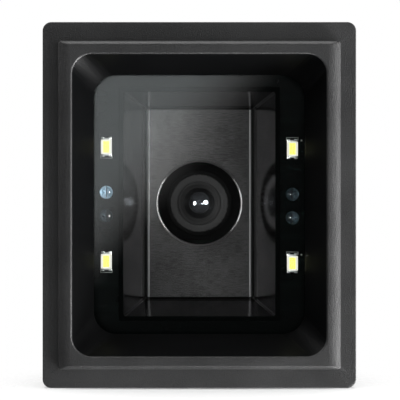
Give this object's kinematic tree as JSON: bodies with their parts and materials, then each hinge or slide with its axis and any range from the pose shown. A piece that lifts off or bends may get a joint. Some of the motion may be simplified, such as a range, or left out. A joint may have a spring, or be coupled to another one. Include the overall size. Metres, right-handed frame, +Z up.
{
  "type": "fixed barcode reader",
  "caption": "Fixed-mount barcode reader: flanged bezel with a flared window recess, lit camera tunnel behind clear glass, and a boxed rear housing with a cable socket.",
  "frame": {"origin": "centre of the flange's front seating face, on the optical axis", "axes": "+X to the right seen from the front, +Y back from the panel into the machine, +Z up"},
  "size_m": [0.068, 0.0545, 0.0794],
  "materials": {
    "bezel_plastic": "fine eroded grain",
    "housing_plastic": "fine eroded grain",
    "window_glass": "polished",
    "seal_rubber": "matte",
    "board_mask": "dark solder mask",
    "led_white": "white reflector resin",
    "led_phosphor": "phosphor gel",
    "solder_tin": "tinned",
    "clear_resin": "clear moulded resin",
    "tunnel_black": "polished black",
    "bracket_satin": "satin grain",
    "screw_steel": "zinc plated",
    "lens_metal": "black anodised",
    "lens_glass": "coated",
    "holder_plastic": "plain",
    "filter_glass": "coated",
    "board_green": "solder mask",
    "chip_resin": "moulded resin",
    "connector_ivory": "plain",
    "jack_black": "semi-gloss",
    "contact_gold": "gold flash",
    "ribbon_film": "film",
    "insert_brass": "turned"
  },
  "bodies": {
    "root": {"front_bezel": "bezel_plastic", "window_gasket": "seal_rubber", "window": "window_glass", "illumination_board": "board_mask", "led_packages": "led_white", "led_phosphors": "led_phosphor", "led_terminals": "solder_tin", "aiming_leds": "clear_resin", "light_tunnel": "tunnel_black", "tunnel_screws": "screw_steel", "camera_bracket": "bracket_satin", "bracket_screws": "screw_steel", "lens_barrel": "lens_metal", "lens_retainer": "lens_metal", "front_lens": "lens_glass", "rear_lens": "lens_glass", "lens_holder": "holder_plastic", "holder_screws": "screw_steel", "ir_filter": "filter_glass", "image_sensor": "chip_resin", "sensor_board": "board_green", "sensor_screws": "screw_steel", "link_plug": "connector_ivory", "link_socket": "connector_ivory", "main_board": "board_green", "main_board_screws": "screw_steel", "processor_chip": "chip_resin", "memory_chip": "chip_resin", "beeper": "holder_plastic", "cable_jack": "jack_black", "jack_contacts": "contact_gold", "led_ribbon": "ribbon_film", "ribbon_connectors": "connector_ivory", "rear_housing": "housing_plastic", "housing_gasket": "seal_rubber", "case_screws": "screw_steel", "mounting_inserts": "insert_brass"}
  },
  "joints": []
}
